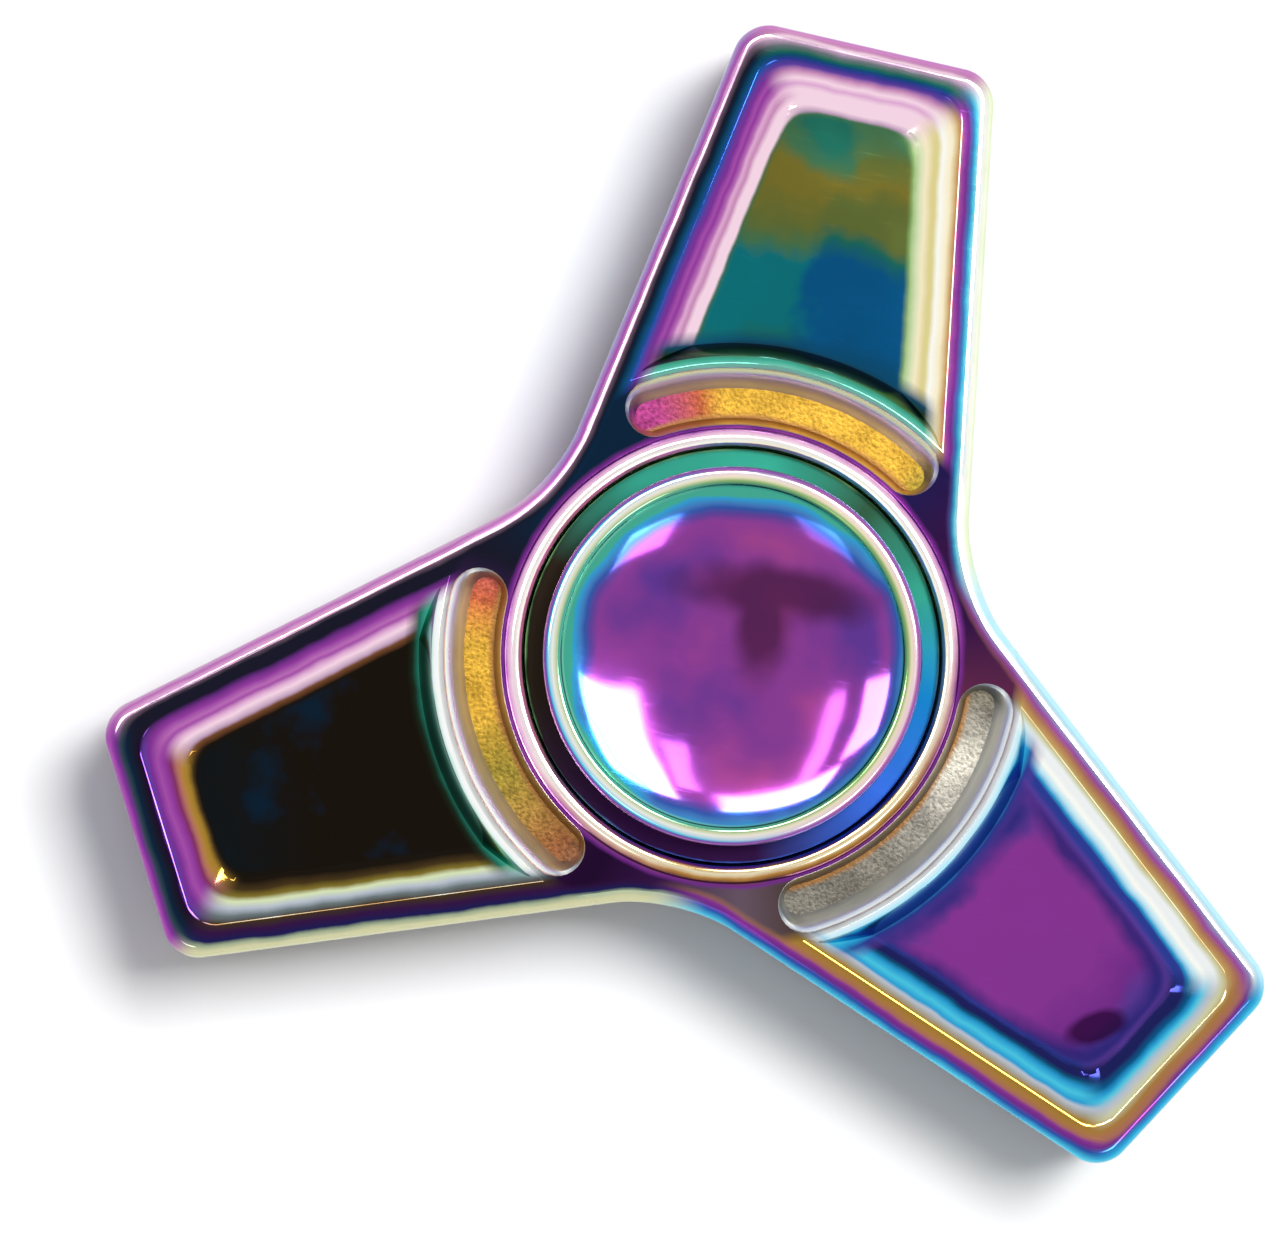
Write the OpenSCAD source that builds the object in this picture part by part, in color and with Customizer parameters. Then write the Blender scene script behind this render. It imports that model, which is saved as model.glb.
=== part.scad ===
// Three-arm metal fidget spinner on a standard 608 ball bearing.
// The bearing's axis is Z, one arm points along +Y, and the origin is the bearing's centre.
// Front and back are the same.

/* [Body outline] */
// Distance from the bearing's axis to the flat tip of an arm
arm_reach = 39.1; // [37:0.1:44]
// Half the width of an arm on its tip line
tip_half_width = 8; // [7:0.1:9]
// Angle in degrees by which each side of an arm leans out towards the hub
side_taper = 9.5; // [8:0.5:11]
// Radius of the two corners of a tip
tip_corner_r = 2.25; // [1.5:0.05:3]
// Radius of the hollow between two arms
web_r = 11; // [8:0.5:13]
// Thickness over the rims
body_t = 8; // [7.8:0.1:9]
// Radius of the rounded edge that runs round the outline
edge_r = 0.85; // [0.4:0.05:1]

/* [Arm panels] */
// Width of the rim, from the outline to the top of the panel's wall
rim_w = 2.1; // [1.8:0.1:2.6]
// Width of the hollow wall that runs down to the panel's floor
panel_wall_w = 2.5; // [1.5:0.1:3]
// Depth of the panel below the rim
panel_depth = 1.5; // [0.8:0.1:2]
// Radius of the panel's corners at the tip
panel_corner_r = 1.7; // [1:0.1:2]
// Distance from the axis to the panel's edge on the hub side
panel_hub_r = 18.45; // [18.3:0.05:20]
// Width of the panel's wall on the hub side
panel_hub_wall_w = 1.2; // [0.6:0.1:2]

/* [Root slots] */
// Inner radius of the curved slot at an arm's root
slot_in_r = 14.5; // [14.4:0.05:14.8]
// Outer radius of the slot
slot_out_r = 17.95; // [17:0.05:18.1]
// Angle from the middle of the arm to the centre of each round end
slot_end_angle = 30.4; // [20:0.2:34]
// Width of the slot's steep inner wall
slot_in_wall_w = 0.45; // [0.2:0.05:0.6]
// Width of the slot's sloping outer wall
slot_out_wall_w = 1.15; // [0.6:0.05:1.3]
// Depth of the slot
slot_depth = 1.3; // [0.6:0.1:1.8]

/* [Hub collar] */
// Radius of the middle of the rounded collar round the cap
collar_r = 13.6; // [13.4:0.05:13.65]
// Half the width of the collar
collar_half_w = 0.7; // [0.5:0.05:0.75]
// Height of the collar above the rims
collar_rise = 0.5; // [0.2:0.1:0.6]
// Depth of the recess inside the collar, below the rims
recess_depth = 0.5; // [0.3:0.1:0.5]

/* [Ball bearing] */
// Bore radius of the inner ring
bearing_bore_r = 4; // [4:1:4]
// Outside radius of the outer ring
bearing_out_r = 11; // [11:1:11]
// Width of both rings
bearing_w = 7; // [7:1:7]
// Number of balls
ball_count = 7; // [6:1:7]
// Ball diameter
ball_d = 3.969; // [3.9:0.001:3.969]
// Radius of the circle that the balls' centres run on
pitch_r = 7.5; // [7.5:0.05:7.55]
// Outside radius of the inner ring's shoulders
inner_shoulder_r = 6; // [5.8:0.05:6.1]
// Inside radius of the outer ring's shoulders
outer_shoulder_r = 8.95; // [8.9:0.05:9]
// Radius of the grooves that the balls run in, seen in section
groove_r = 2.06; // [2.03:0.01:2.1]

/* [Cage, shields and snap rings] */
// Width of the cage's ribbon
cage_w = 1.2; // [0.8:0.1:1.6]
// Thickness of the cage's sheet
cage_t = 0.3; // [0.2:0.05:0.35]
// Radius of a rivet's shank
rivet_r = 0.3; // [0.2:0.05:0.3]
// Radius of a rivet's head
rivet_head_r = 0.5; // [0.4:0.05:0.6]
// Thickness of a dust shield
shield_t = 0.3; // [0.2:0.05:0.3]
// Distance from a ring's end face down to the shield's outer face
shield_set_back = 0.55; // [0.5:0.05:0.6]
// Thickness of a snap ring
snap_ring_t = 0.28; // [0.2:0.02:0.3]
// Width of a snap ring
snap_ring_w = 0.65; // [0.5:0.05:0.7]
// Angle of the gap in a snap ring
snap_ring_gap = 14; // [6:1:20]

/* [Finger caps] */
// Radius of a finger cap
cap_r = 11.8; // [11.4:0.1:12.2]
// Height of a cap's rim above the rims of the arms
cap_rise = 2.5; // [2:0.1:3.5]
// Radius of the cap's outer edge
cap_edge_r = 0.45; // [0.3:0.05:0.6]
// Width of the flat land on top of the cap's rim
cap_land_w = 0.4; // [0.3:0.05:0.6]
// Depth of the finger dish below the land
dish_depth = 1.5; // [0.8:0.05:1.6]
// Radius of the boss that centres the cap in the bearing
boss_r = 3.985; // [3.9:0.005:3.99]
// Length of the boss below the cap's seat
boss_l = 3.4; // [2:0.1:3.8]
// Thickness of the spacer shims
shim_t = 0.6; // [0.4:0.05:0.8]
// Outside radius of a shim
shim_r = 5.6; // [5:0.1:5.8]

/* [Stud] */
// Radius of the threaded stud, which stands in as a plain rod
stud_r = 2; // [1.5:0.1:2.5]
// Length of the stud
stud_l = 8.4; // [6:0.2:9]
// Width across the flats of the stud's hexagon socket
stud_socket_af = 2; // [1.5:0.1:2]

/* [Hidden] */

arm_count = 3;
half_pitch = 180 / arm_count;
// Share of a wall's fall that is straight, and how gently the ridge over a slot starts
wall_straight = 0.7;
ridge_power = 0.6;
// A little more than nothing, so that a cut runs past the face it starts from
over = 0.5;
// Steps in a tip corner, a hollow between arms, a rounded edge and a hollow wall
corner_steps = 6;
web_steps = 12;
edge_steps = 5;
wall_steps = 5;
arc_steps = 24;
// Slack at a slot's round ends, so that their wall crosses the groove's and doesn't just touch it
slot_end_play = 0.04;

face_z = body_t / 2;
recess_z = face_z - recess_depth;
ring_z = bearing_w / 2;

// Where the sides of two neighbouring arms would meet without the hollow
side_slope = tan(side_taper);
meet_y = (tip_half_width + arm_reach * side_slope) / (tan(half_pitch) + side_slope);
meet_r = meet_y / cos(half_pitch);
web_centre_r = meet_r + web_r / sin(half_pitch + side_taper);

// Bearing
ball_r = ball_d / 2;
ball_play = 0.01;
ring_chamfer = 0.3;
shield_low_z = ring_z - shield_set_back - shield_t;
shield_seat_r = 9.6;
shield_out_r = 9.55;
shield_in_r = inner_shoulder_r + 0.35;
snap_groove_r = 9.9;
snap_groove_t = snap_ring_t + 0.04;
snap_ring_out_r = 9.87;
pocket_play = 0.045;
rivet_play = 0.02;
rivet_head_t = 0.15;

// Caps
cap_top_z = face_z + cap_rise;
cap_seat_z = ring_z + shim_t;
cap_step = 0.3;
cap_lip_r = 0.35;
cap_under_edge_r = 0.3;
dish_r = cap_r - cap_edge_r - cap_land_w - cap_lip_r;
dish_round = 0.25;
stud_hole_r = stud_r + 0.015;
stud_hole_top_z = stud_l / 2 + 0.1;

// Points along an arc, from angle a to angle b
function arc(centre, r, a, b, steps) = [
    for (i = [0:steps])
        let (t = a + (b - a) * i / steps)
        centre + r * [cos(t), sin(t)]
];

function turned(points, angle) = [
    for (p = points)
        [p.x * cos(angle) - p.y * sin(angle), p.x * sin(angle) + p.y * cos(angle)]
];

function at_height(points, z) = [for (p = points) [p.x, p.y, z]];

// Half the width of an arm at a distance y along it
function half_width(y) = tip_half_width + (arm_reach - y) * side_slope;

// Centre of a tip corner of radius r, set in from the outline
function corner_centre(inset, r) =
    let (y = arm_reach - inset - r)
    [half_width(y) - (inset + r) / cos(side_taper), y];

function tip_corners(inset, r) =
    let (c = corner_centre(inset, r))
    concat(
        arc(c, r, side_taper, 90, corner_steps),
        arc([-c.x, c.y], r, 90, 180 - side_taper, corner_steps)
    );

// The whole outline, set in by a distance, anticlockwise
function outline(inset) =
    let (
        web_centre = web_centre_r * [-sin(half_pitch), cos(half_pitch)],
        arm = concat(
            tip_corners(inset, tip_corner_r - inset),
            arc(web_centre, web_r + inset, -side_taper,
                2 * (half_pitch - 90) + side_taper, web_steps)
        )
    )
    [for (i = [0:arm_count - 1]) each turned(arm, i * 2 * half_pitch)];

// The outline of one arm's panel: sides and tip set in from the body's, hub side an arc
function panel_outline(inset, hub_r, corner_r) =
    let (
        x0 = half_width(0) - inset / cos(side_taper),
        k = 1 + side_slope * side_slope,
        y = (x0 * side_slope + sqrt(k * hub_r * hub_r - x0 * x0)) / k,
        a = atan2(x0 - side_slope * y, y)
    )
    concat(tip_corners(inset, corner_r), arc([0, 0], hub_r, 90 + a, 90 - a, arc_steps));

// How far a slightly hollow wall has come down, from 0 at its top to 1 at its foot
function hollow(t) = wall_straight * t + (1 - wall_straight) * (1 - pow(1 - t, 2));

// Step i of a hollow wall. Step 0 is its mouth, above the face, in line with its first stretch.
function wall_t(i, depth) =
    i > 0 ? i / wall_steps : -over / (depth * hollow(1 / wall_steps) * wall_steps);
function wall_z(i, depth) = i > 0 ? face_z - depth * hollow(i / wall_steps) : face_z + over;
// The same steps across a wall that starts gently, so that the ridge over a slot is rounded
function ridge_t(i, depth) =
    i > 0
        ? pow(i / wall_steps, ridge_power)
        : -over * pow(1 / wall_steps, ridge_power) / (depth * hollow(1 / wall_steps));

// A closed solid through rings of points, which all have the same count.
// Its ends are fans round a centre that sees every point of its ring.
module loft(rings, centre) {
    n = len(rings[0]);
    last = len(rings) - 1;
    low = n * (last + 1);
    polyhedron(
        points = concat(
            [for (ring = rings) each ring],
            [[centre.x, centre.y, rings[0][0].z], [centre.x, centre.y, rings[last][0].z]]
        ),
        faces = concat(
            [for (i = [0:n - 1]) [low, i, (i + 1) % n]],
            [
                for (k = [0:last - 1], i = [0:n - 1])
                    let (a = k * n + i, b = k * n + (i + 1) % n)
                    [a, a + n, b + n, b]
            ],
            [for (i = [0:n - 1]) [low + 1, last * n + (i + 1) % n, last * n + i]]
        )
    );
}

module each_arm() {
    for (i = [0:arm_count - 1]) rotate([0, 0, i * 2 * half_pitch]) children();
}

// Its children, and the same again on the back
module both_faces() {
    children();
    mirror([0, 0, 1]) children();
}

// A turned ring from its section
module turned_ring() {
    rotate_extrude($fn = 128) children();
}

module body_blank() {
    low = [
        for (i = [edge_steps:-1:0])
            let (a = 90 * i / edge_steps)
            at_height(outline(edge_r * (1 - cos(a))), -(face_z - edge_r) - edge_r * sin(a))
    ];
    high = [
        for (i = [0:edge_steps])
            let (a = 90 * i / edge_steps)
            at_height(outline(edge_r * (1 - cos(a))), face_z - edge_r + edge_r * sin(a))
    ];
    loft(concat(low, high), [0, 0]);
}

module panel_cut() {
    rings = [
        for (i = [wall_steps:-1:0])
            let (t = wall_t(i, panel_depth))
            at_height(
                panel_outline(rim_w + panel_wall_w * t,
                    panel_hub_r + panel_hub_wall_w * ridge_t(i, panel_depth),
                    panel_corner_r * (1 - 0.3 * t)),
                wall_z(i, panel_depth)
            )
    ];
    loft(rings, [0, arm_reach - rim_w - 2 * panel_wall_w]);
}

// The section of a slot's wall: it comes in by a width as it runs down to the floor
function slot_wall(r, width) = [
    for (i = [0:wall_steps]) [r + width * wall_t(i, slot_depth), wall_z(i, slot_depth)]
];
function slot_ridge_wall(r, width) = [
    for (i = [0:wall_steps]) [r + width * ridge_t(i, slot_depth), wall_z(i, slot_depth)]
];

// A groove with a steep inner wall and a sloping outer one, closed at both ends by a steep wall
module slot_cut() {
    end_r = (slot_out_r - slot_in_r) / 2;
    end_low_r = end_r - slot_in_wall_w + slot_end_play;
    low_z = face_z - slot_depth - over;
    out_wall = slot_ridge_wall(slot_out_r, -slot_out_wall_w);
    intersection() {
        rotate([0, 0, 45])
            rotate_extrude(angle = 90, $fn = 128)
                polygon(concat(
                    slot_wall(slot_in_r, slot_in_wall_w),
                    [for (i = [wall_steps:-1:0]) out_wall[i]]
                ));
        union() {
            rotate([0, 0, 90 - slot_end_angle])
                rotate_extrude(angle = 2 * slot_end_angle, $fn = 128)
                    translate([slot_in_r - over, low_z])
                        square([slot_out_r - slot_in_r + 2 * over, slot_depth + 3 * over]);
            for (side = [-1, 1])
                rotate([0, 0, side * slot_end_angle])
                    translate([0, slot_in_r + end_r, 0])
                        rotate_extrude($fn = 64)
                            polygon(concat(
                                [[0, face_z + 2 * over], [end_r + over, face_z + 2 * over]],
                                slot_wall(end_r + slot_end_play, -slot_in_wall_w),
                                [[end_low_r, low_z], [0, low_z]]
                            ));
        }
    }
}

module collar() {
    turned_ring()
        translate([collar_r, face_z + collar_rise - collar_half_w])
            circle(r = collar_half_w, $fn = 64);
}

module body() {
    color("#4a3a9c")
        difference() {
            union() {
                body_blank();
                both_faces() collar();
            }
            cylinder(r = bearing_out_r, h = 2 * body_t, center = true, $fn = 128);
            both_faces() {
                translate([0, 0, recess_z])
                    cylinder(r = collar_r - collar_half_w + 0.05, h = body_t, $fn = 128);
                each_arm() {
                    panel_cut();
                    slot_cut();
                }
            }
        }
}

module bearing_outer_ring() {
    color("silver")
        turned_ring()
            difference() {
                polygon([
                    [outer_shoulder_r, -ring_z],
                    [bearing_out_r - ring_chamfer, -ring_z],
                    [bearing_out_r, -ring_z + ring_chamfer],
                    [bearing_out_r, ring_z - ring_chamfer],
                    [bearing_out_r - ring_chamfer, ring_z],
                    [outer_shoulder_r, ring_z]
                ]);
                translate([pitch_r + ball_r + ball_play - groove_r, 0])
                    circle(r = groove_r, $fn = 96);
                for (side = [0, 1]) mirror([0, side]) {
                    translate([outer_shoulder_r - over, shield_low_z])
                        square([shield_seat_r - outer_shoulder_r + over, bearing_w]);
                    translate([outer_shoulder_r - over, shield_low_z + shield_t])
                        square([snap_groove_r - outer_shoulder_r + over, snap_groove_t]);
                }
            }
}

module bearing_inner_ring() {
    color("silver")
        turned_ring()
            difference() {
                polygon([
                    [bearing_bore_r + ring_chamfer, -ring_z],
                    [inner_shoulder_r, -ring_z],
                    [inner_shoulder_r, ring_z],
                    [bearing_bore_r + ring_chamfer, ring_z],
                    [bearing_bore_r, ring_z - ring_chamfer],
                    [bearing_bore_r, -ring_z + ring_chamfer]
                ]);
                translate([pitch_r - ball_r - ball_play + groove_r, 0])
                    circle(r = groove_r, $fn = 96);
            }
}

module at_ball(i) {
    rotate([0, 0, 90 + i * 360 / ball_count])
        translate([pitch_r, 0, 0])
            children();
}

module ball(i) {
    color("gainsboro")
        at_ball(i)
            sphere(r = ball_r, $fn = 64);
}

// Places its children between each two balls
module at_rivets() {
    for (i = [0:ball_count - 1])
        rotate([0, 0, 90 + (i + 0.5) * 360 / ball_count])
            translate([pitch_r, 0, 0])
                children();
}

// A flat ribbon with a domed pocket over each ball
module cage_half() {
    pocket_r = ball_r + pocket_play;
    difference() {
        intersection() {
            union() {
                cylinder(r = pitch_r + cage_w / 2, h = cage_t, $fn = 96);
                for (i = [0:ball_count - 1])
                    at_ball(i)
                        sphere(r = pocket_r + cage_t, $fn = 64);
            }
            difference() {
                cylinder(r = pitch_r + cage_w / 2, h = ball_d, $fn = 96);
                translate([0, 0, -over])
                    cylinder(r = pitch_r - cage_w / 2, h = 2 * ball_d, $fn = 96);
            }
        }
        for (i = [0:ball_count - 1])
            at_ball(i)
                sphere(r = pocket_r, $fn = 64);
        at_rivets()
            cylinder(r = rivet_r + rivet_play, h = 4 * cage_t, center = true, $fn = 24);
    }
}

module cage_upper() {
    color("peru") cage_half();
}

module cage_lower() {
    color("peru") mirror([0, 0, 1]) cage_half();
}

module cage_rivets() {
    color("darkgoldenrod")
        at_rivets() {
            cylinder(r = rivet_r, h = 2 * cage_t, center = true, $fn = 24);
            both_faces()
                translate([0, 0, cage_t])
                    cylinder(r = rivet_head_r, h = rivet_head_t, $fn = 24);
        }
}

module shield() {
    color("lightsteelblue")
        translate([0, 0, shield_low_z])
            turned_ring()
                translate([shield_in_r, 0])
                    square([shield_out_r - shield_in_r, shield_t]);
}

// A split ring that springs out into its groove
module snap_ring() {
    color("dimgray")
        translate([0, 0, shield_low_z + shield_t + (snap_groove_t - snap_ring_t) / 2])
            rotate([0, 0, snap_ring_gap / 2 - 90])
                rotate_extrude(angle = 360 - snap_ring_gap, $fn = 128)
                    translate([snap_ring_out_r - snap_ring_w, 0])
                        square([snap_ring_w, snap_ring_t]);
}

module shim() {
    color("gray")
        translate([0, 0, ring_z])
            turned_ring()
                translate([bearing_bore_r + 0.05, 0])
                    square([shim_r - bearing_bore_r - 0.05, shim_t]);
}

// Height of the dish: nearly flat in the middle and steeper at its edge
function dish_z(r) =
    let (t = r / dish_r)
    cap_top_z - dish_depth + (dish_depth - cap_lip_r * 0.6)
        * ((1 - dish_round) * pow(t, 2) + dish_round * pow(t, 8));

// Half the section of a finger cap, from the stud's hole out and over to the middle of the dish
function cap_section() =
    let (
        boss_z = cap_seat_z - boss_l,
        land_out_r = cap_r - cap_edge_r,
        land_in_r = land_out_r - cap_land_w
    )
    concat(
        [
            [0, stud_hole_top_z],
            [stud_hole_r, stud_hole_top_z],
            [stud_hole_r, boss_z],
            [boss_r - 0.3, boss_z],
            [boss_r, boss_z + 0.3],
            [boss_r, cap_seat_z],
            [shim_r + 0.4, cap_seat_z],
            [shim_r + 0.4 + cap_step, cap_seat_z + cap_step]
        ],
        arc([cap_r - cap_under_edge_r, cap_seat_z + cap_step + cap_under_edge_r],
            cap_under_edge_r, -90, 0, corner_steps),
        arc([land_out_r, cap_top_z - cap_edge_r], cap_edge_r, 0, 90, corner_steps),
        arc([land_in_r, cap_top_z - cap_lip_r], cap_lip_r, 90, 160, corner_steps),
        [for (i = [20:-1:0]) let (r = dish_r * i / 20) [r, dish_z(r)]]
    );

module finger_cap() {
    color("#8c3a96")
        turned_ring()
            polygon(cap_section());
}

module cap_stud() {
    chamfer = 0.3;
    color("#3a3a3a")
        difference() {
            turned_ring()
                polygon([
                    [0, -stud_l / 2],
                    [stud_r - chamfer, -stud_l / 2],
                    [stud_r, chamfer - stud_l / 2],
                    [stud_r, stud_l / 2 - chamfer],
                    [stud_r - chamfer, stud_l / 2],
                    [0, stud_l / 2]
                ]);
            translate([0, 0, stud_l / 2 - stud_socket_af])
                cylinder(r = stud_socket_af / sqrt(3), h = stud_socket_af + over, $fn = 6);
        }
}

body();
bearing_outer_ring();
bearing_inner_ring();
for (i = [0:ball_count - 1]) ball(i);
cage_upper();
cage_lower();
cage_rivets();
shield();  // shield_top
mirror([0, 0, 1]) shield();  // shield_bottom
snap_ring();  // snap_ring_top
mirror([0, 0, 1]) snap_ring();  // snap_ring_bottom
shim();  // shim_top
mirror([0, 0, 1]) shim();  // shim_bottom
finger_cap();  // cap_top
mirror([0, 0, 1]) finger_cap();  // cap_bottom
cap_stud();
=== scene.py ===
import bpy
import bmesh
from math import cos, pi, radians, sin, tan
from mathutils import Matrix, Vector


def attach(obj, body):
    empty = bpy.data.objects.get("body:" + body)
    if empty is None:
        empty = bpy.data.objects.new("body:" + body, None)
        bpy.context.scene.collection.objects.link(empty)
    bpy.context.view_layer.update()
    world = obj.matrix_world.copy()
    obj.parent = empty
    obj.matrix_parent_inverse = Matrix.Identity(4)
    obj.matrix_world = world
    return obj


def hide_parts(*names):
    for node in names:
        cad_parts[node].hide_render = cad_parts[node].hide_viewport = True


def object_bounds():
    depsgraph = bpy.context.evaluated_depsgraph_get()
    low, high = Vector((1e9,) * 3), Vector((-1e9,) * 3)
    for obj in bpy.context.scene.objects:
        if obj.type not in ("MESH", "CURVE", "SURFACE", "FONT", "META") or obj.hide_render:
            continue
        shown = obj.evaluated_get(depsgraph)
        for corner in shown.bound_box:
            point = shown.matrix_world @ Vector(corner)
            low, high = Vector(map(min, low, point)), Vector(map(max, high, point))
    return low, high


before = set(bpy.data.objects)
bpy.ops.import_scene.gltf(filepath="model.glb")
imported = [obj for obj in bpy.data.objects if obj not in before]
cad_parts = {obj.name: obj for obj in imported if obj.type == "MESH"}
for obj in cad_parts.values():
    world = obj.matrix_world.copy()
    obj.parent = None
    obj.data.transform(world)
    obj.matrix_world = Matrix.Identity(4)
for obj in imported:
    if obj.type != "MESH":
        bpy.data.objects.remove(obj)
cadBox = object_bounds()
scene = bpy.context.scene
scene.view_settings.view_transform = "Standard"
mm = 0.001
print("frame loaded")


def linear(code, alpha=1.0):
    # an sRGB hex colour as the linear one that shaders use
    parts = [int(code[i:i + 2], 16) / 255 for i in (1, 3, 5)]
    return [c / 12.92 if c <= 0.04045 else ((c + 0.055) / 1.055) ** 2.4 for c in parts] + [alpha]


def addNode(tree, kind, inputs=(), out=0, stops=None, **settings):
    # adds one node, fills its inputs from sockets or plain values, and gives back one output
    new = tree.nodes.new(kind)
    for key, value in settings.items():
        setattr(new, key, value)
    named = inputs.items() if isinstance(inputs, dict) else enumerate(inputs)
    for socket, value in named:
        if isinstance(value, bpy.types.NodeSocket):
            tree.links.new(value, new.inputs[socket])
        else:
            new.inputs[socket].default_value = value
    if stops:
        ramp = new.color_ramp
        while len(ramp.elements) < len(stops):
            ramp.elements.new(0.5)
        for element, (place, code) in zip(ramp.elements, sorted(stops)):
            element.position = place
            element.color = linear(code)
    return new.outputs[out] if len(new.outputs) else new


def newMaterial(name):
    material = bpy.data.materials.new(name)
    material.use_nodes = True
    material.node_tree.nodes.clear()
    return material, material.node_tree


# The coated zinc body
bodySizes = {  # millimetres and degrees, the same as the CAD body's
    "armReach": 39.1, "tipHalfWidth": 8.0, "sideTaper": 9.5, "tipCorner": 2.25, "webRadius": 11.0,
    "thickness": 8.0, "edgeRadius": 0.85, "rimWidth": 2.1, "rimLip": 0.22,
    "wallWidth": 2.5, "panelDepth": 1.5, "panelCorner": 1.7, "panelHubRadius": 18.45, "hubWallWidth": 1.2,
    "slotInner": 14.5, "slotOuter": 17.95, "slotHalfAngle": 30.4, "slotDepth": 1.3,
    "slotInnerWall": 0.45, "slotOuterWall": 1.15, "slotLip": 0.15,
    "wallStraight": 0.7, "ridgePower": 0.6,
    "collarRadius": 13.6, "collarHalfWidth": 0.7, "collarRise": 0.5, "recessDepth": 0.5, "boreRadius": 11.0,
    "wallSteps": 12, "cornerSegments": 10, "turnSteps": 192,
}


def asObject(name, bm, materials=()):
    bmesh.ops.remove_doubles(bm, verts=bm.verts, dist=0.0005)
    bmesh.ops.recalc_face_normals(bm, faces=bm.faces)
    mesh = bpy.data.meshes.new(name)
    bm.to_mesh(mesh)
    bm.free()
    for material in materials:
        mesh.materials.append(material)
    made = bpy.data.objects.new(name, mesh)
    scene.collection.objects.link(made)
    return made


def carve(target, tool, operation="DIFFERENCE"):
    # one exact Boolean, applied, with the tool's materials kept on the faces that it leaves
    step = target.modifiers.new("carve", "BOOLEAN")
    step.object, step.operation, step.solver, step.material_mode = tool, operation, "EXACT", "TRANSFER"
    carved = bpy.data.meshes.new_from_object(
        target.evaluated_get(bpy.context.evaluated_depsgraph_get()))
    target.modifiers.clear()
    target.data = carved
    bpy.data.objects.remove(tool)


def copyTurned(source, turn, name):
    mesh = source.data.copy()
    mesh.transform(turn)
    if turn.determinant() < 0:
        mesh.flip_normals()
    made = bpy.data.objects.new(name, mesh)
    scene.collection.objects.link(made)
    return made


def hollow(t):
    # how far a slightly hollow wall has come down, 0 at its top and 1 at its foot
    straight = bodySizes["wallStraight"]
    return straight * t + (1 - straight) * (1 - (1 - t) ** 2)


def ridge(t):
    # the same steps across a wall that starts gently, so that the ridge over a slot is rounded
    return max(t, 0) ** bodySizes["ridgePower"]


def halfWidth(y, inset):
    s = bodySizes
    taper = radians(s["sideTaper"])
    return s["tipHalfWidth"] + (s["armReach"] - y) * tan(taper) - inset / cos(taper)


def turnProfile(bm, points, steps, closed=True):
    # a section of radius and height points, turned a full circle about the hub's axis
    line = [bm.verts.new((r, 0, z)) for r, z in points]
    edges = [bm.edges.new(pair) for pair in zip(line, line[1:])]
    if closed:
        edges.append(bm.edges.new((line[-1], line[0])))
    bmesh.ops.spin(bm, geom=line + edges, cent=(0, 0, 0), axis=(0, 0, 1), dvec=(0, 0, 0),
                   angle=2 * pi, steps=steps, use_merge=True, use_duplicate=False)


def bandRing(bm, inner, outer, halfAngle, z):
    # the outline of a curved band with round ends, at one height
    middle = (inner + outer) / 2
    place = lambda r, a: Vector((r * sin(a), r * cos(a), z))
    vert = bm.verts.new(place(outer, halfAngle))
    for centre, angle, steps in (
        (Vector(), 2 * halfAngle, 44), (place(middle, -halfAngle), pi, 14),
        (Vector(), -2 * halfAngle, 44), (place(middle, halfAngle), pi, 14),
    ):
        spun = bmesh.ops.spin(bm, geom=[vert], cent=centre, axis=(0, 0, 1), dvec=(0, 0, 0),
                              angle=angle, steps=steps, use_merge=False, use_duplicate=False)
        vert = [v for v in spun["geom_last"] if isinstance(v, bmesh.types.BMVert)][0]


def ringEdges(bm, z):
    return [e for e in bm.edges if all(abs(v.co.z - z) < 1e-5 for v in e.verts)]


def bridgeRings(bm, heights):
    # walls between the rings, and a lid on the first and last
    bmesh.ops.remove_doubles(bm, verts=bm.verts, dist=0.001)
    for upper, lower in zip(heights, heights[1:]):
        bmesh.ops.bridge_loops(bm, edges=ringEdges(bm, upper) + ringEdges(bm, lower))
    for z in (heights[0], heights[-1]):
        lid = bmesh.ops.contextual_create(bm, geom=ringEdges(bm, z), mat_nr=0)["faces"]
        if z == heights[-1]:
            for face in lid:
                face.material_index = 1


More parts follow.
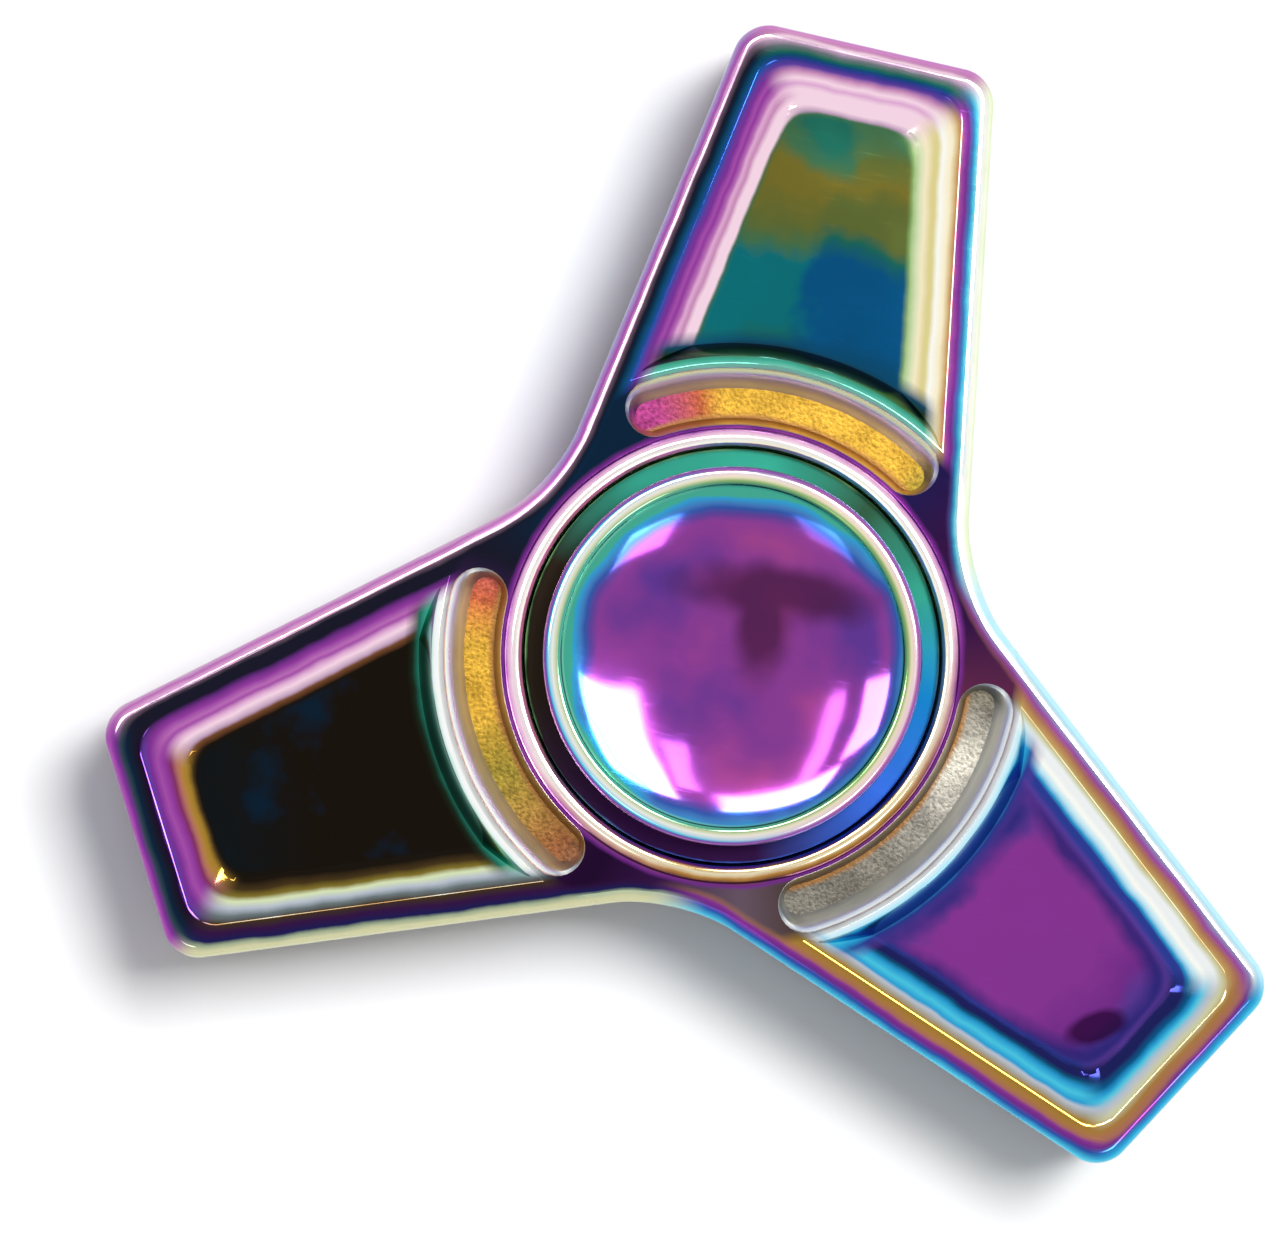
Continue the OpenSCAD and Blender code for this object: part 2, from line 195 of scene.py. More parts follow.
def makeBlank(materials):
    s = bodySizes
    slope = tan(radians(s["sideTaper"]))
    meetRadius = 2 * (s["tipHalfWidth"] + s["armReach"] * slope) / (tan(radians(60)) + slope)
    bm = bmesh.new()
    corners = []
    for arm in range(3):
        turn = Matrix.Rotation(radians(120 * arm), 3, "Z")
        for place in ((s["tipHalfWidth"], s["armReach"], 0), (-s["tipHalfWidth"], s["armReach"], 0),
                      (-meetRadius * sin(radians(60)), meetRadius * cos(radians(60)), 0)):
            corners.append(bm.verts.new(turn @ Vector(place)))
    low = bm.faces.new(corners)
    bmesh.ops.translate(bm, verts=bm.verts, vec=(0, 0, -s["thickness"] / 2))
    top = bmesh.ops.extrude_face_region(bm, geom=[low])
    bmesh.ops.translate(bm, verts=[v for v in top["geom"] if isinstance(v, bmesh.types.BMVert)],
                        vec=(0, 0, s["thickness"]))
    upright = [e for e in bm.edges if abs(e.verts[0].co.z - e.verts[1].co.z) > 1]
    tips = [e for e in upright if e.verts[0].co.xy.length > 30]
    webs = [e for e in upright if e.verts[0].co.xy.length < 30]
    # an edge bevel's offset that gives the wanted corner radius
    tipOffset = s["tipCorner"] / tan(radians(90 + s["sideTaper"]) / 2)
    webOffset = s["webRadius"] / tan(radians(120 + 2 * s["sideTaper"]) / 2)
    for edges, offset in ((tips, tipOffset), (webs, webOffset)):
        bmesh.ops.bevel(bm, geom=edges, offset=offset, offset_type="OFFSET", segments=16, profile=0.5,
                        affect="EDGES", material=-1, clamp_overlap=False)
    rim = [e for e in bm.edges if abs(abs(e.verts[0].co.z) - s["thickness"] / 2) < 1e-4
           and abs(e.verts[0].co.z - e.verts[1].co.z) < 1e-4]
    bmesh.ops.bevel(bm, geom=rim, offset=s["edgeRadius"], offset_type="OFFSET", segments=8, profile=0.5,
                    affect="EDGES", material=-1, clamp_overlap=False)
    return asObject("blank", bm, materials)


def makePanelTool(materials):
    # the hollow in one arm: rings of a trapezium with rounded tip corners, less a plug on the hub's side
    s = bodySizes
    face, steps, lip = s["thickness"] / 2, s["wallSteps"], s["rimLip"]
    # the rim's inner edge is eased in four small turns, and the wall runs on from there
    rows = [(-lip * 1.25, 0.3), (-lip * 1.25, lip * 0.035), (-lip * 0.75, -lip * 0.035),
            (-lip * 0.5, -lip * 0.107), (-lip * 0.25, -lip * 0.218), (0, -lip * 0.374)]
    fall = s["panelDepth"] - lip * 0.374
    rows += [(s["wallWidth"] * t, -lip * 0.374 - fall * hollow(t)) for t in
             [(i + 1) / steps for i in range(steps)]]
    bm = bmesh.new()
    for across, drop in rows:
        inset, t = s["rimWidth"] + across, max(across, 0) / s["wallWidth"]
        tip, z = s["armReach"] - inset, face + drop
        ring = [bm.verts.new((side * halfWidth(y, inset), y, z)) for side, y in
                ((1, 8), (1, tip), (-1, tip), (-1, 8))]
        bm.faces.new(ring)
        corner = s["panelCorner"] * (1 - 0.3 * t) / tan(radians(90 + s["sideTaper"]) / 2)
        bmesh.ops.bevel(bm, geom=ring[1:3], offset=corner, offset_type="OFFSET",
                        segments=s["cornerSegments"], profile=0.5, affect="VERTICES", material=-1,
                        clamp_overlap=False)
    bmesh.ops.delete(bm, geom=list(bm.faces), context="FACES_ONLY")
    bridgeRings(bm, [face + drop for across, drop in rows])
    for wall in bm.faces:
        wall.material_index = 0
    tool = asObject("panelTool", bm, materials)
    plug = bmesh.new()
    low = face - s["panelDepth"] - 1
    turnProfile(plug, [(0, low), (s["panelHubRadius"] + s["hubWallWidth"] + 0.02, low)]
                + [(s["panelHubRadius"] + s["hubWallWidth"] * ridge(across / s["wallWidth"])
                    + min(across, 0) * 0.6, face + drop) for across, drop in reversed(rows)]
                + [(0, face + 0.3)], s["turnSteps"])
    carve(tool, asObject("hubPlug", plug, materials))
    return tool


def makeSlotTool(materials):
    s = bodySizes
    face = s["thickness"] / 2
    rows = [(0, 1.0, 0.05), (0, 0.45, -0.015), (0, 0, -0.1)]  # share of the wall, of the lip, and drop
    rows += [(t, 0, -0.1 - (s["slotDepth"] - 0.1) * hollow(t)) for t in [(i + 1) / 12 for i in range(12)]]
    heights = [face + drop for t, lip, drop in rows]
    bm = bmesh.new()
    spare = (s["slotOuterWall"] - s["slotInnerWall"]) / 2  # keeps the round ends' walls steep
    for (t, lip, drop), z in zip(rows, heights):
        inner = s["slotInner"] + s["slotInnerWall"] * t - 0.1 * lip
        outer = s["slotOuter"] - s["slotOuterWall"] * ridge(t) + s["slotLip"] * lip
        bandRing(bm, inner, outer, radians(s["slotHalfAngle"]) + spare * t / inner, z)
    bridgeRings(bm, heights)
    return asObject("slotTool", bm, materials)


def makeBody(materials):
    s = bodySizes
    face, steps = s["thickness"] / 2, s["turnSteps"]
    body = makeBlank(materials)
    for side in (1, -1):
        ring = bmesh.new()
        bmesh.ops.create_circle(ring, segments=40, radius=s["collarHalfWidth"])
        bmesh.ops.rotate(ring, verts=ring.verts, matrix=Matrix.Rotation(pi / 2, 3, "X"))
        height = face + s["collarRise"] - s["collarHalfWidth"]
        bmesh.ops.translate(ring, verts=ring.verts, vec=(s["collarRadius"], 0, side * height))
        bmesh.ops.spin(ring, geom=ring.verts[:] + ring.edges[:], cent=(0, 0, 0), axis=(0, 0, 1),
                       dvec=(0, 0, 0), angle=2 * pi, steps=steps, use_merge=True, use_duplicate=False)
        carve(body, asObject("collarTool", ring, materials), "UNION")
    recess, wall = face - s["recessDepth"], s["collarRadius"] - s["collarHalfWidth"] + 0.05
    bore = bmesh.new()
    turnProfile(bore, [(0, -9), (wall, -9), (wall, -recess), (s["boreRadius"], -recess),
                       (s["boreRadius"], recess), (wall, recess), (wall, 9), (0, 9)], steps)
    carve(body, asObject("boreTool", bore, materials))
    panel, slot = makePanelTool(materials), makeSlotTool(materials)
    for arm in range(3):
        turn = Matrix.Rotation(radians(120 * arm), 4, "Z")
        for flip in (1, -1):
            place = Matrix.Diagonal((1, 1, flip, 1)) @ turn
            carve(body, copyTurned(panel, place, "panelCopy"))
            carve(body, copyTurned(slot, place, "slotCopy"))
    for tool in (panel, slot):
        bpy.data.objects.remove(tool)
    body.name = "spinner_body"
    return body


def finishMesh(piece, sharpAngle):
    # smooth faces with true flats, in metres
    piece.data.transform(Matrix.Scale(mm, 4))
    piece.data.shade_smooth()
    piece.data.set_sharp_from_angle(angle=radians(sharpAngle))
    flats = piece.modifiers.new("flats", "WEIGHTED_NORMAL")
    flats.keep_sharp = True
    flats.weight = 80


# Thin-film (PVD) rainbow coating on polished zinc: the film's thickness drifts round every edge, so the
# colour runs in narrow bands along the rims and the eye reads a mirror stained like oil on water.
# These are its colours as it thickens and thins, and the pale ones (white, pearl, cream, blush, ice) also
# serve as painted highlights.
filmColours = {
    "white": "#f8f8f0", "pearl": "#e8ecec", "silver": "#b4bcc8", "pewter": "#687478", "slate": "#344854",
    "cream": "#f4e8c4", "straw": "#dcd090", "wheat": "#c8c8a0", "sage": "#98a88c", "lime": "#d4e0b4",
    "sand": "#c49c5c", "amber": "#b08040", "gold": "#a07c2c", "ochre": "#80702c", "copper": "#b07060",
    "rust": "#88442c", "brown": "#74482c", "russet": "#6c4040", "umber": "#44341c", "nearBlack": "#1c1610",
    "coal": "#101a20", "stone": "#605c54", "taupe": "#7c7870", "ash": "#a09c90",
    "blush": "#f4d4e4", "pink": "#dca8d0", "rose": "#c488b4", "mauve": "#c0a0bc", "orchid": "#b468b0",
    "magenta": "#a04ca4", "grape": "#8c3898", "plum": "#783090", "madder": "#803060", "wine": "#682c4c",
    "prune": "#582870", "aubergine": "#381848", "night": "#240e30", "heather": "#6c5868",
    "lilac": "#9490bc", "violet": "#5c3c98", "indigo": "#2c3c90", "midnight": "#1e2058", "ink": "#1c1c2c",
    "deep": "#102840", "navy": "#104c70", "ocean": "#0c5484", "blue": "#2850a4", "steel": "#3c74b8",
    "azure": "#2898cc", "cyan": "#48c0dc", "ice": "#b4e0f0", "mint": "#88ccb8", "jade": "#3ca48c",
    "lagoon": "#107078", "teal": "#206858", "bottle": "#1c3424", "fern": "#44704c", "moss": "#606c34",
    "olive": "#78702c", "leaf": "#8cb46c",
}
# Each band is its distance in millimetres in from the arm's outline (less than 0 is down the side).
# The pale bands along the rims and walls are painted highlights, and each side of an arm has its own bands
# partly because light falls on it differently.
blueSide = {-3.0: "azure", -2.0: "blue", -1.0: "grape"}
copperSide = {-3.0: "grape", -2.0: "sand", -1.0: "cyan", 0.0: "cyan"}
filmAndHighlightBands = {
    "topCcw": {**blueSide, 0.0: "lilac", 0.4: "magenta", 0.6: "pink", 0.8: "heather", 1.1: "ink",
               1.3: "deep", 1.6: "navy", 1.9: "blue", 2.1: "violet", 2.4: "plum", 2.7: "magenta",
               2.9: "grape", 3.2: "orchid", 3.4: "pink", 3.7: "rose", 4.0: "blush", 4.5: "blush",
               4.7: "fern"},
    "topCw": {-3.0: "plum", -2.0: "steel", -1.0: "cyan", 0.0: "lime", 0.5: "white", 0.8: "ice",
              1.0: "cyan", 1.2: "steel", 1.5: "plum", 1.8: "magenta", 2.1: "sand", 2.5: "cream",
              3.0: "white", 3.3: "straw", 3.5: "straw", 3.9: "cream", 4.2: "lime", 4.7: "leaf"},
    "topTip": {**blueSide, 0.0: "orchid", 0.4: "rose", 0.6: "blush",
               0.8: "mauve", 1.1: "pewter", 1.4: "teal", 1.6: "navy", 1.8: "indigo", 2.1: "violet",
               2.4: "rose", 2.8: "blush", 3.1: "pink", 3.4: "blush", 4.2: "blush", 4.5: "mauve",
               4.7: "fern"},
    "leftCcw": {-3.0: "azure", -2.0: "violet", -1.0: "mauve", 0.0: "wheat", 0.4: "wheat", 0.7: "sage",
                0.9: "midnight", 1.4: "aubergine", 1.9: "umber", 2.3: "pewter", 2.7: "silver",
                3.1: "lime", 3.4: "ochre", 3.8: "umber", 4.3: "nearBlack"},
    "leftCw": {**blueSide, 0.0: "mauve", 0.3: "orchid", 0.6: "pink",
               0.8: "heather", 1.1: "ink", 1.8: "ink", 2.0: "prune", 2.4: "grape", 2.8: "orchid",
               3.0: "magenta", 3.3: "pink", 3.6: "blush", 4.0: "mauve", 4.2: "brown", 4.6: "nearBlack"},
    "leftTip": {**blueSide, 0.0: "grape", 0.2: "magenta", 0.5: "plum",
                0.8: "slate", 1.1: "deep", 1.5: "ink", 1.8: "night", 2.0: "violet", 2.3: "plum",
                2.7: "magenta", 3.1: "grape", 3.4: "madder", 3.7: "copper", 3.9: "amber", 4.2: "gold",
                4.5: "umber", 4.7: "nearBlack"},
    "rightCcw": {-3.0: "violet", -2.0: "steel", -1.0: "cyan", 0.0: "ice", 0.4: "ice", 0.6: "pearl",
                 0.8: "lilac", 1.1: "magenta", 1.4: "copper", 1.8: "sand", 2.1: "wheat", 2.4: "pearl",
                 2.7: "pearl", 3.0: "white", 3.4: "ice", 3.7: "azure", 3.9: "indigo", 4.2: "indigo",
                 4.7: "violet"},
    "rightCw": {**copperSide, 0.5: "blue", 0.8: "plum",
                1.0: "grape", 1.2: "copper", 1.5: "amber", 2.0: "gold", 2.3: "ash", 2.6: "silver",
                2.8: "azure", 3.2: "cyan", 3.6: "azure", 3.9: "navy", 4.1: "midnight", 4.4: "midnight",
                4.7: "indigo"},
    "rightTip": {**copperSide, 0.4: "azure", 0.6: "steel",
                 0.8: "plum", 1.1: "copper", 1.6: "amber", 2.1: "wheat", 2.5: "silver", 2.9: "cyan",
                 3.1: "azure", 3.4: "ocean", 3.8: "midnight", 4.3: "midnight", 4.7: "violet"},
}
# The polished panel floors, from the hub's end of the arm to its tip
floorBands = {
    "top": {19: "teal", 21: "lagoon", 25: "lagoon", 26: "fern", 27: "moss", 29: "olive", 31: "olive",
            32.5: "fern", 34: "teal"},
    "topSide": {19: "navy", 21: "ocean", 25: "ocean", 26.5: "teal", 27.5: "moss", 29.5: "moss",
                31: "olive", 32.5: "moss", 34: "fern"},
    "left": {19: "nearBlack", 28: "nearBlack", 36: "coal"},
    "right": {19: "indigo", 20.5: "violet", 22: "grape", 29: "grape", 31.5: "plum", 33: "violet",
              34: "violet"},
}
# The film between the collar and a panel, by distance from the hub's axis: a slot's inner wall, its
# sloping outer wall, the ridge and the panel's own wall
# The pale bands, cream on a slot's inner wall and silver, pearl and white over the ridge, are painted
# highlights.
hubWallBands = {
    "top": {14.3: "cream", 14.8: "sand", 16.6: "lilac", 17.0: "silver", 17.4: "lilac", 17.9: "wheat",
            18.1: "mint", 18.6: "jade", 18.9: "fern", 19.3: "bottle", 19.9: "navy"},
    "left": {14.3: "cream", 14.8: "sand", 16.6: "silver", 17.1: "pearl", 17.5: "silver", 18.0: "white",
             18.6: "pearl", 18.9: "mint", 19.2: "jade", 19.7: "teal", 20.0: "bottle", 20.4: "nearBlack"},
    "right": {14.3: "cream", 14.8: "ash", 16.6: "silver", 17.1: "pearl", 17.6: "silver", 18.2: "pearl",
              18.7: "ice", 19.0: "cyan", 19.4: "azure", 19.8: "indigo", 20.3: "violet"},
}
# Round the hub, by angle
webFlats = {0: "wine", 20: "aubergine", 40: "aubergine", 60: "midnight", 90: "prune", 110: "midnight",
            120: "deep", 155: "deep", 170: "ink", 200: "prune", 230: "aubergine", 250: "night",
            265: "aubergine", 285: "heather", 300: "umber", 330: "russet", 345: "wine", 360: "wine"}
# Painted shade: the recess round the cap, under the cap's edge, is painted near black on the side away from
# the key light.
gapFilmAndShade = {0: "ocean", 30: "teal", 60: "bottle", 90: "teal", 130: "teal", 165: "nearBlack", 205: "nearBlack",
           250: "night", 290: "night", 330: "blue", 360: "ocean"}
# Over the collar, by distance from the axis; the cream, white and blush bands along its crest are a painted
# highlight
collarBands = {
    "upper": {12.9: "fern", 13.1: "leaf", 13.3: "cream", 13.5: "white", 13.8: "blush", 14.0: "pink",
              14.2: "magenta", 14.4: "plum"},
    "lower": {12.9: "blue", 13.1: "steel", 13.2: "violet", 13.4: "sand", 13.6: "cream", 13.9: "amber",
              14.1: "brown", 14.4: "plum"},
}
# Bead-blasted floors of the slots under the same film, by angle; the pale stone, taupe and ash of the
# right-hand slot are partly a painted reflection of white light
slotFilmAndReflection = {0: "stone", 55: "ochre", 60: "gold", 105: "gold", 110: "rust", 120: "madder", 150: "madder",
            180: "rust", 190: "gold", 205: "gold", 220: "ochre", 240: "brown", 270: "stone",
            320: "stone", 335: "taupe", 350: "ash", 360: "stone"}

bodyFinish = {
    "bandWobble": 0.22,  # millimetres that a band's edge strays
    "wander": 0.9, "wanderSize": 14.0,  # the same down the outer sides
    "wobbleSize": 3.0, "patchSize": 6.5, "waveSize": 5.0, "scratchSize": 0.35, "grainSize": 0.24,
    "polishRoughness": 0.09, "blastRoughness": 0.5, "slotWallSatin": 0.22,
}


def spread(bands, low, high):
    # band places in millimetres or degrees as places along a colour ramp
    return [((place - low) / (high - low), filmColours[name]) for place, name in bands.items()]


def filmCoordinates(tree):
    # where a point lies on the body: millimetres from the axis, degrees round it, and how far in from
    # the outline of the arm that it is on
    s = bodySizes
    taper = radians(s["sideTaper"])
    meetRadius = 2 * (s["tipHalfWidth"] + s["armReach"] * tan(taper)) / (tan(radians(60)) + tan(taper))
    webCentre = meetRadius + s["webRadius"] / sin(radians(60) + taper)
    math, vector = "ShaderNodeMath", "ShaderNodeVectorMath"
    place = addNode(tree, "ShaderNodeTexCoord", out="Object")
    point = addNode(tree, vector, (place, (1000, 1000, 1000)), operation="MULTIPLY")
    stray = addNode(tree, "ShaderNodeTexNoise", {"Vector": point, "Scale": 1 / bodyFinish["wobbleSize"],
                                                 "Detail": 3.0}, out="Color")
    stray = addNode(tree, vector, (stray, (0.5, 0.5, 0.5)), operation="SUBTRACT")
    stray = addNode(tree, vector, (stray, (2 * bodyFinish["bandWobble"],) * 3), operation="MULTIPLY")
    wobbled = addNode(tree, vector, (point, stray), operation="ADD")
    parts = addNode(tree, "ShaderNodeSeparateXYZ", (wobbled,)).node
    flat = addNode(tree, "ShaderNodeCombineXYZ", (parts.outputs[0], parts.outputs[1]))
    radius = addNode(tree, vector, (flat,), out="Value", operation="LENGTH")
    turn = addNode(tree, math, (parts.outputs[1], parts.outputs[0]), operation="ARCTAN2")
    turn = addNode(tree, math, (turn, 180 / pi), operation="MULTIPLY")
    turn = addNode(tree, math, (turn, 360.0), operation="FLOORED_MODULO")
    # the nearest arm (-1 and 2 right, 0 top, 1 left) and the angle off its middle line
    arm = addNode(tree, math, (turn, -90.0), operation="ADD")
    arm = addNode(tree, math, (arm, 120.0), operation="DIVIDE")
    arm = addNode(tree, math, (arm,), operation="ROUND")
    fold = addNode(tree, math, (arm, -120.0, turn), operation="MULTIPLY_ADD")
    fold = addNode(tree, math, (fold, -90.0), operation="ADD")
    fold = addNode(tree, math, (fold, pi / 180), operation="MULTIPLY")
    along = addNode(tree, math, (fold,), operation="COSINE")
    along = addNode(tree, math, (along, radius), operation="MULTIPLY")
    across = addNode(tree, math, (fold,), operation="SINE")
    across = addNode(tree, math, (across, radius), operation="MULTIPLY")
    aside = addNode(tree, math, (across,), operation="ABSOLUTE")
    # in from the straight side, from the tip, and from the hollow between two arms
    side = addNode(tree, math, (along, -tan(taper), s["tipHalfWidth"] + s["armReach"] * tan(taper)),
                   operation="MULTIPLY_ADD")
    side = addNode(tree, math, (side, aside), operation="SUBTRACT")
    side = addNode(tree, math, (side, cos(taper)), operation="MULTIPLY")
    tip = addNode(tree, math, (s["armReach"], along), operation="SUBTRACT")
    centre = (webCentre * sin(radians(60)), webCentre * cos(radians(60)), 0)
    away = addNode(tree, "ShaderNodeCombineXYZ", (aside, along))
    away = addNode(tree, vector, (away, centre), operation="SUBTRACT")
    web = addNode(tree, vector, (away,), out="Value", operation="LENGTH")
    web = addNode(tree, math, (web, s["webRadius"]), operation="SUBTRACT")
    onSide = addNode(tree, vector, (away, (-sin(taper), cos(taper), 0)), out="Value",
                     operation="DOT_PRODUCT")
    onSide = addNode(tree, math, (onSide, 0.0), operation="GREATER_THAN")
    side = addNode(tree, "ShaderNodeMix", {0: onSide, 2: web, 3: side})
    edge = addNode(tree, math, (side, tip, 3.2), operation="SMOOTH_MIN")
    atTip = addNode(tree, math, (side, tip), operation="SUBTRACT")
    atTip = addNode(tree, "ShaderNodeMapRange", (atTip, -1.3, 1.3, 0.0, 1.0),
                    interpolation_type="SMOOTHSTEP")
    height = addNode(tree, "ShaderNodeSeparateXYZ", (point,), out="Z")
    height = addNode(tree, math, (height,), operation="ABSOLUTE")
    # below the rounded edge the distance goes on down the side
    down = addNode(tree, math, (height, -(s["thickness"] / 2 - s["edgeRadius"])), operation="ADD")
    down = addNode(tree, math, (down, 0.0), operation="MINIMUM")
    outside = addNode(tree, math, (edge, 1.0), operation="LESS_THAN")
    down = addNode(tree, math, (down, outside), operation="MULTIPLY")
    edge = addNode(tree, math, (edge, down), operation="ADD")
    # and the bands wander up and down it
    wander = addNode(tree, "ShaderNodeTexNoise", {"Vector": point, "Scale": 1 / bodyFinish["wanderSize"],
                                                  "Detail": 1.5})
    wander = addNode(tree, "ShaderNodeMapRange",
                     (wander, 0.3, 0.7, -bodyFinish["wander"], bodyFinish["wander"]))
    onWall = addNode(tree, "ShaderNodeMapRange", (down, -0.2, -1.5, 0.0, 1.0))
    edge = addNode(tree, math, (wander, onWall, edge), operation="MULTIPLY_ADD")
    isTop = addNode(tree, math, (arm, 0.0, 0.1), operation="COMPARE")
    isLeft = addNode(tree, math, (arm, 1.0, 0.1), operation="COMPARE")
    return {"point": point, "radius": radius, "turn": turn, "along": along, "across": across,
            "edge": edge, "atTip": atTip, "height": height, "isTop": isTop, "isLeft": isLeft}


def mixByArm(tree, at, colours):
    # the colour for the arm that the point is on
    mixed = addNode(tree, "ShaderNodeMix", {0: at["isTop"], 6: colours["right"], 7: colours["top"]}, out=2,
                    data_type="RGBA")
    return addNode(tree, "ShaderNodeMix", {0: at["isLeft"], 6: mixed, 7: colours["left"]}, out=2,
                   data_type="RGBA")


def polishedSurface(tree, point, colour, roughness, satin=0.0, clear=0.0):
    # a mirror with slow waves left by the casting and fine hairlines from handling; satin is the extra
    # roughness beside the blasted floors, and clear the share of light that the film's outer face sends back
    f = bodyFinish
    waves = addNode(tree, "ShaderNodeTexNoise", {"Vector": point, "Scale": 1 / f["waveSize"], "Detail": 1.0})
    lines = addNode(tree, "ShaderNodeMapping",
                    {"Vector": point, "Rotation": (0, 0, 0.6), "Scale": (0.12, 3, 1)})
    lines = addNode(tree, "ShaderNodeTexNoise",
                    {"Vector": lines, "Scale": 1 / f["scratchSize"], "Detail": 2.0})
    lines = addNode(tree, "ShaderNodeMapRange", (lines, 0.62, 0.8, 0.0, 1.0))
    smudge = addNode(tree, "ShaderNodeTexNoise",
                     {"Vector": point, "Scale": 1 / f["patchSize"], "Detail": 4.0})
    rough = addNode(tree, "ShaderNodeMapRange", (smudge, 0.35, 0.75, roughness * 0.75, roughness * 1.5))
    rough = addNode(tree, "ShaderNodeMath", (lines, 0.06, rough), operation="MULTIPLY_ADD")
    rough = addNode(tree, "ShaderNodeMath", (rough, satin), operation="ADD")
    bump = addNode(tree, "ShaderNodeBump", {"Height": waves, "Strength": 0.35, "Distance": 0.0001})
    bump = addNode(tree, "ShaderNodeBump", {"Height": lines, "Strength": 0.04, "Distance": 0.00001,
                                            "Normal": bump})
    shader = addNode(tree, "ShaderNodeBsdfPrincipled",
                     {"Base Color": colour, "Metallic": 1.0, "Roughness": rough, "Normal": bump,
                      "Coat Weight": clear, "Coat Roughness": roughness})
    addNode(tree, "ShaderNodeOutputMaterial", {"Surface": shader})


def rainbowZinc():
    material, tree = newMaterial("pvdRainbowPolishedZinc")
    at = filmCoordinates(tree)
    math, mix = "ShaderNodeMath", "ShaderNodeMix"
    low, high = -3.2, 4.8
    # the rim bands, film colour with painted highlights in their pale stretches
    position = addNode(tree, "ShaderNodeMapRange", (at["edge"], low, high, 0.0, 1.0))
    bands = {name: addNode(tree, "ShaderNodeValToRGB", (position,), stops=spread(stops, low, high))
             for name, stops in filmAndHighlightBands.items()}
    rim = bands["rightCcw"]
    for start, end, name in ((22, 38, "topCw"), (89.6, 90.4, "topCcw"), (142, 158, "leftCw"),
                             (209.6, 210.4, "leftCcw"), (262, 278, "rightCw"), (329.6, 330.4, "rightCcw")):
        share = addNode(tree, "ShaderNodeMapRange", (at["turn"], start, end, 0.0, 1.0),
                        interpolation_type="SMOOTHSTEP")
        rim = addNode(tree, mix, {0: share, 6: rim, 7: bands[name]}, out=2, data_type="RGBA")
    tips = mixByArm(tree, at, {"top": bands["topTip"], "left": bands["leftTip"], "right": bands["rightTip"]})
    rim = addNode(tree, mix, {0: at["atTip"], 6: rim, 7: tips}, out=2, data_type="RGBA")
    # panel floors, with soft patches where the film is thicker
    patch = addNode(tree, "ShaderNodeTexNoise", {"Vector": at["point"], "Scale": 1 / bodyFinish["patchSize"],
                                                 "Detail": 3.0, "Roughness": 0.6})
    patch = addNode(tree, math, (patch, -0.5), operation="ADD")
    along = addNode(tree, math, (patch, 7.0, at["along"]), operation="MULTIPLY_ADD")
    along = addNode(tree, "ShaderNodeMapRange", (along, 18.0, 38.0, 0.0, 1.0))
    floors = {name: addNode(tree, "ShaderNodeValToRGB", (along,), stops=spread(stops, 18.0, 38.0))
              for name, stops in floorBands.items()}
    share = addNode(tree, math, (patch, 9.0, at["across"]), operation="MULTIPLY_ADD")
    share = addNode(tree, "ShaderNodeMapRange", (share, 1.1, -0.6, 0.0, 1.0), interpolation_type="SMOOTHSTEP")
    floors["top"] = addNode(tree, mix, {0: share, 6: floors["top"], 7: floors["topSide"]}, out=2,
                            data_type="RGBA")
    # navy clouds in the near-black floor of the left arm
    cloud = addNode(tree, "ShaderNodeMapRange", (patch, 0.03, 0.16, 0.0, 0.8))
    floors["left"] = addNode(tree, mix, {0: cloud, 6: floors["left"], 7: linear("#0c2438")}, out=2,
                             data_type="RGBA")
    # the right arm's floor is navy along its walls, and has one small dark spot
    border = addNode(tree, math, (patch, 2.5, at["edge"]), operation="MULTIPLY_ADD")
    border = addNode(tree, "ShaderNodeMapRange", (border, 5.9, 4.9, 0.0, 0.85))
    inner = addNode(tree, math, (patch, 3.0, at["radius"]), operation="MULTIPLY_ADD")
    inner = addNode(tree, "ShaderNodeMapRange", (inner, 21.8, 20.4, 0.0, 0.85))
    border = addNode(tree, math, (border, inner), operation="MAXIMUM")
    floors["right"] = addNode(tree, mix, {0: border, 6: floors["right"], 7: linear("#28287a")}, out=2,
                              data_type="RGBA")
    spot = addNode(tree, "ShaderNodeMapping",
                   {"Vector": at["point"], "Location": (27.5, -17.6, 4), "Rotation": (0, 0, 0.52),
                    "Scale": (1.9, 0.85, 30)}, vector_type="TEXTURE")
    spot = addNode(tree, "ShaderNodeVectorMath", (spot,), out="Value", operation="LENGTH")
    spot = addNode(tree, math, (patch, 1.5, spot), operation="MULTIPLY_ADD")
    spot = addNode(tree, "ShaderNodeMapRange", (spot, 0.65, 1.15, 0.85, 0.0))
    floors["right"] = addNode(tree, mix, {0: spot, 6: floors["right"], 7: linear("#2c0838")}, out=2,
                              data_type="RGBA")
    floor = mixByArm(tree, at, floors)
    onFloor = addNode(tree, "ShaderNodeMapRange", (at["edge"], 4.5, 5.0, 0.0, 1.0),
                      interpolation_type="SMOOTHSTEP")
    colour = addNode(tree, mix, {0: onFloor, 6: rim, 7: floor}, out=2, data_type="RGBA")
    # the wall on the hub's side of a panel, with its painted highlights
    out = addNode(tree, "ShaderNodeMapRange", (at["radius"], 14.0, 22.0, 0.0, 1.0))
    walls = {name: addNode(tree, "ShaderNodeValToRGB", (out,), stops=spread(stops, 14.0, 22.0))
             for name, stops in hubWallBands.items()}
    wall = mixByArm(tree, at, walls)
    nearHub = addNode(tree, "ShaderNodeMapRange", (at["radius"], 20.6, 19.7, 0.0, 1.0))
    inRim = addNode(tree, "ShaderNodeMapRange", (at["edge"], 2.2, 3.2, 0.0, 1.0))
    share = addNode(tree, math, (nearHub, inRim), operation="MULTIPLY")
    colour = addNode(tree, mix, {0: share, 6: colour, 7: wall}, out=2, data_type="RGBA")
